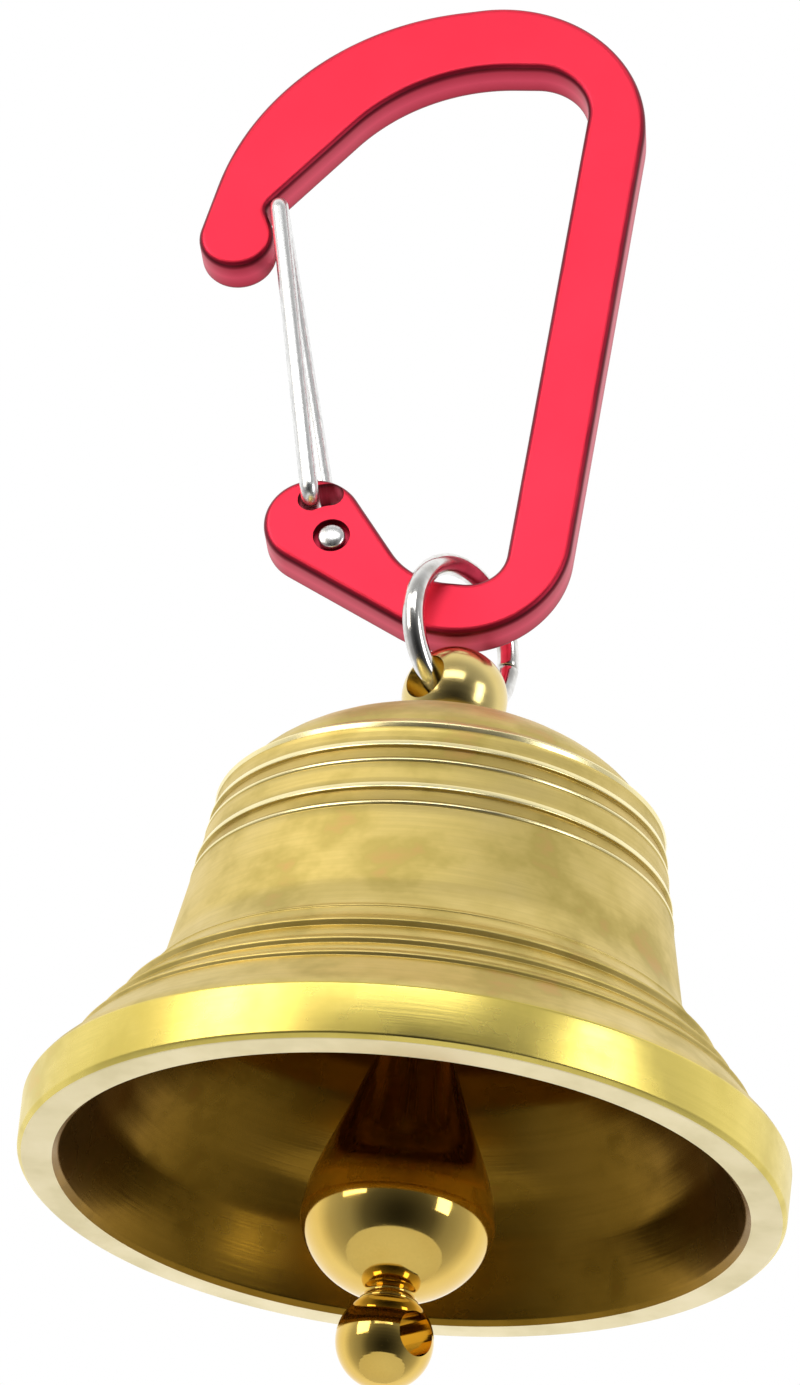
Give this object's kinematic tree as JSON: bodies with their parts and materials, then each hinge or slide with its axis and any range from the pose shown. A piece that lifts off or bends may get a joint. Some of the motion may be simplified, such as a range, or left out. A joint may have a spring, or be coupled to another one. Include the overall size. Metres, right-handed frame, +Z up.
{
  "type": "pendant bell with carabiner",
  "caption": "Small turned brass bell with a hanging clapper, linked by a wire ring to a flat red wire-gate carabiner.",
  "frame": {"origin": "the highest point of the inside of the carabiner's loop, where it bears on whatever it is clipped to", "axes": "+Z straight up, against gravity, with the bell's mouth facing -Z; +Y through the carabiner's plate, away from the viewer; +X towards its spine, with the gate on the -X side"},
  "size_m": [0.0462, 0.0462, 0.099],
  "materials": {
    "red_anodised": "red anodised, satin",
    "gate_wire": "drawn stainless spring wire",
    "ring_steel": "bright nickel plate",
    "bell_brass": "satin turned brass",
    "knob_brass": "polished turned brass",
    "nut_brass": "machined brass",
    "clapper_brass": "mirror polished brass"
  },
  "bodies": {
    "carabiner": {"carabiner_body": "red_anodised"},
    "gate": {"wire_gate": "gate_wire"},
    "ring": {"link_ring": "ring_steel"},
    "bell": {"bell_shell": "bell_brass", "crown_knob": "knob_brass", "crown_washer": "nut_brass", "crown_nut": "nut_brass"},
    "clapper_link": {"clapper_ring": "ring_steel"},
    "clapper_bob": {"clapper": "clapper_brass"}
  },
  "joints": [
    {"name": "gate_open", "type": "hinge", "parent": "carabiner", "child": "gate", "pos_m": [-0.00887, 0, -0.03746], "axis": [0, 1, 0], "range_deg": [0, 25], "stiffness_Nm_per_rad": 0.004, "springref_deg": -11.46},
    {"name": "ring_swing", "type": "hinge", "parent": "carabiner", "child": "ring", "pos_m": [0, 0, -0.0423], "axis": [1, 0, 0], "range_deg": [-20, 7]},
    {"name": "bell_swing", "type": "hinge", "parent": "ring", "child": "bell", "pos_m": [0, 0, -0.04791], "axis": [0.5736, 0.8192, 0], "range_deg": [-40, 40]},
    {"name": "clapper_ring_swing", "type": "hinge", "parent": "bell", "child": "clapper_link", "pos_m": [0, 0, -0.05926], "axis": [0, 1, 0], "range_deg": [-15, 15]},
    {"name": "clapper_swing", "type": "hinge", "parent": "clapper_link", "child": "clapper_bob", "pos_m": [0, 0, -0.06182], "axis": [1, 0, 0], "range_deg": [-30, 30]}
  ]
}
